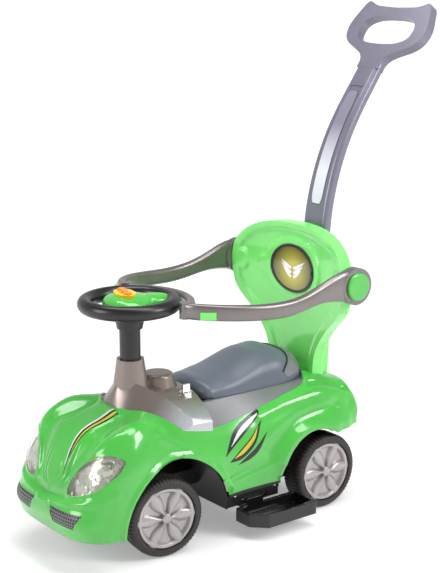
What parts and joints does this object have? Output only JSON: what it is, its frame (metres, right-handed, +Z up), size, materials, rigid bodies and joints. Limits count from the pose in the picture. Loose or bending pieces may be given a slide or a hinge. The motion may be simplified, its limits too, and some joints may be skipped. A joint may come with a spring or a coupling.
{
  "type": "push car with handle",
  "caption": "Toddler ride-on push car: green car body with steering wheel, seat over a storage tub, backrest, swing-up guard bar, pull-out footrests and a tall rear push handle",
  "frame": {"origin": "centre of the bounding box in plan, on the floor the wheels stand on", "axes": "+Z up, the car's nose towards -Y, the car's left side towards +X"},
  "size_m": [0.3468, 0.7949, 0.8738],
  "materials": {
    "green_body": "bright glossy moulded green",
    "light_green": "lighter glossy green",
    "clear_lens": "clear moulded lens",
    "bright_reflector": "bright metallised reflector",
    "dark_mesh": "dark mesh",
    "silver_cowl": "silver-grey metallic plastic",
    "chrome_trim": "polished",
    "grey_frame": "satin grey plastic",
    "black_plastic": "black glossy plastic",
    "steel": "plain steel",
    "blue_grey_seat": "blue-grey satin plastic",
    "gold_badge": "gold and olive oval plate",
    "lavender_handle": "lavender-grey plastic",
    "pale_label": "pale smooth panel",
    "bronze_guard": "warm grey metallic plastic",
    "white_bush": "pale bearing plastic",
    "yellow_horn": "yellow plastic",
    "orange_button": "orange plastic",
    "dark_tyre": "dark hard plastic tyre",
    "silver_hubcap": "silver-beige plastic"
  },
  "bodies": {
    "chassis": {"body_shell": "green_body", "headlight_lenses": "clear_lens", "headlight_reflectors": "bright_reflector", "bumper_grilles": "dark_mesh", "dash_cowl": "silver_cowl", "ignition_collar": "chrome_trim", "seat_frame": "grey_frame", "storage_tub": "black_plastic", "seat_hinge_pin": "steel", "backrest_shield": "light_green", "backrest_badge": "gold_badge", "backrest_rear_cover": "light_green", "push_handle": "lavender_handle", "handle_label": "pale_label", "guard_pivot_pins": "light_green", "chassis_pan": "black_plastic", "body_screws": "steel", "steering_bush": "white_bush", "rear_axle": "steel", "rear_axle_nuts": "steel", "rear_axle_spacers": "black_plastic"},
    "steering": {"steering_shaft": "steel", "column_sleeve": "black_plastic", "steering_wheel": "black_plastic", "steering_pad": "green_body", "horn_cluster": "yellow_horn"},
    "horn_left": {"horn_button_left": "orange_button"},
    "horn_middle": {"horn_button_middle": "orange_button"},
    "horn_right": {"horn_button_right": "orange_button"},
    "tie_rod": {"tie_rod": "steel"},
    "seat_lid": {"seat_lid": "blue_grey_seat"},
    "guard": {"guard_left_arm": "bronze_guard", "guard_right_arm": "bronze_guard", "guard_front_bar": "bronze_guard"},
    "guard_left_button": {"guard_left_button": "light_green"},
    "guard_right_button": {"guard_right_button": "light_green"},
    "left_footrest": {"left_footrest": "black_plastic"},
    "right_footrest": {"right_footrest": "black_plastic"},
    "ignition_key": {"ignition_key": "chrome_trim"},
    "left_knuckle": {"left_knuckle": "steel", "left_knuckle_wheel_nut": "steel", "left_knuckle_clip": "steel"},
    "front_left_wheel": {"front_left_tyre": "dark_tyre", "front_left_hubcap": "silver_hubcap"},
    "rear_left_wheel": {"rear_left_tyre": "dark_tyre", "rear_left_hubcap": "silver_hubcap"},
    "right_knuckle": {"right_knuckle": "steel", "right_knuckle_wheel_nut": "steel", "right_knuckle_clip": "steel"},
    "front_right_wheel": {"front_right_tyre": "dark_tyre", "front_right_hubcap": "silver_hubcap"},
    "rear_right_wheel": {"rear_right_tyre": "dark_tyre", "rear_right_hubcap": "silver_hubcap"}
  },
  "joints": [
    {"name": "steering_turn", "type": "hinge", "parent": "chassis", "child": "steering", "pos_m": [0, -0.218, 0.3], "axis": [0, 0, 1], "range_deg": [-25, 55]},
    {"name": "tie_rod_shift", "type": "slide", "parent": "chassis", "child": "tie_rod", "axis": [1, 0, 0], "range_m": [-0.0166, 0.0076]},
    {"name": "left_knuckle_turn", "type": "hinge", "parent": "chassis", "child": "left_knuckle", "pos_m": [0.062, -0.223, 0.0675], "axis": [0, 0, 1], "range_deg": [-12.6, 27.6]},
    {"name": "front_left_wheel_spin", "type": "hinge", "parent": "left_knuckle", "child": "front_left_wheel", "pos_m": [0.062, -0.223, 0.0675], "axis": [0.9914, -0.1305, 0], "continuous": true},
    {"name": "rear_left_wheel_spin", "type": "hinge", "parent": "chassis", "child": "rear_left_wheel", "pos_m": [0.098, 0.117, 0.0675], "axis": [1, 0, 0], "continuous": true},
    {"name": "right_knuckle_turn", "type": "hinge", "parent": "chassis", "child": "right_knuckle", "pos_m": [-0.062, -0.223, 0.0675], "axis": [0, 0, 1], "range_deg": [-12.6, 27.6]},
    {"name": "front_right_wheel_spin", "type": "hinge", "parent": "right_knuckle", "child": "front_right_wheel", "pos_m": [-0.062, -0.223, 0.0675], "axis": [0.9914, -0.1305, 0], "continuous": true},
    {"name": "rear_right_wheel_spin", "type": "hinge", "parent": "chassis", "child": "rear_right_wheel", "pos_m": [-0.098, 0.117, 0.0675], "axis": [1, 0, 0], "continuous": true},
    {"name": "seat_lid_lift", "type": "hinge", "parent": "chassis", "child": "seat_lid", "pos_m": [0, -0.102, 0.224], "axis": [1, 0, 0], "range_deg": [0, 36]},
    {"name": "guard_lift", "type": "hinge", "parent": "chassis", "child": "guard", "pos_m": [0, 0.135, 0.411], "axis": [-1, 0, 0], "range_deg": [0, 100]},
    {"name": "guard_left_button_press", "type": "slide", "parent": "guard", "child": "guard_left_button", "axis": [-0.7786, 0.6275, 0], "range_m": [0, 0.003], "stiffness_N_per_m": 300},
    {"name": "guard_right_button_press", "type": "slide", "parent": "guard", "child": "guard_right_button", "axis": [0.7786, 0.6275, 0], "range_m": [0, 0.003], "stiffness_N_per_m": 300},
    {"name": "horn_left_press", "type": "slide", "parent": "steering", "child": "horn_left", "axis": [0, 0, -1], "range_m": [0, 0.002], "stiffness_N_per_m": 300},
    {"name": "horn_middle_press", "type": "slide", "parent": "steering", "child": "horn_middle", "axis": [0, 0, -1], "range_m": [0, 0.002], "stiffness_N_per_m": 300},
    {"name": "horn_right_press", "type": "slide", "parent": "steering", "child": "horn_right", "axis": [0, 0, -1], "range_m": [0, 0.002], "stiffness_N_per_m": 300},
    {"name": "left_footrest_stow", "type": "slide", "parent": "chassis", "child": "left_footrest", "axis": [-1, 0, 0], "range_m": [0, 0.06]},
    {"name": "right_footrest_stow", "type": "slide", "parent": "chassis", "child": "right_footrest", "axis": [1, 0, 0], "range_m": [0, 0.06]},
    {"name": "ignition_key_turn", "type": "hinge", "parent": "chassis", "child": "ignition_key", "pos_m": [0.05, -0.141, 0.25], "axis": [0, 0, 1], "range_deg": [0, 60]}
  ],
  "couplings": [
    {"joint": "tie_rod_shift", "follows": "steering_turn", "m_per_rad": -0.0171},
    {"joint": "left_knuckle_turn", "follows": "steering_turn", "ratio": 0.5},
    {"joint": "right_knuckle_turn", "follows": "steering_turn", "ratio": 0.5}
  ]
}
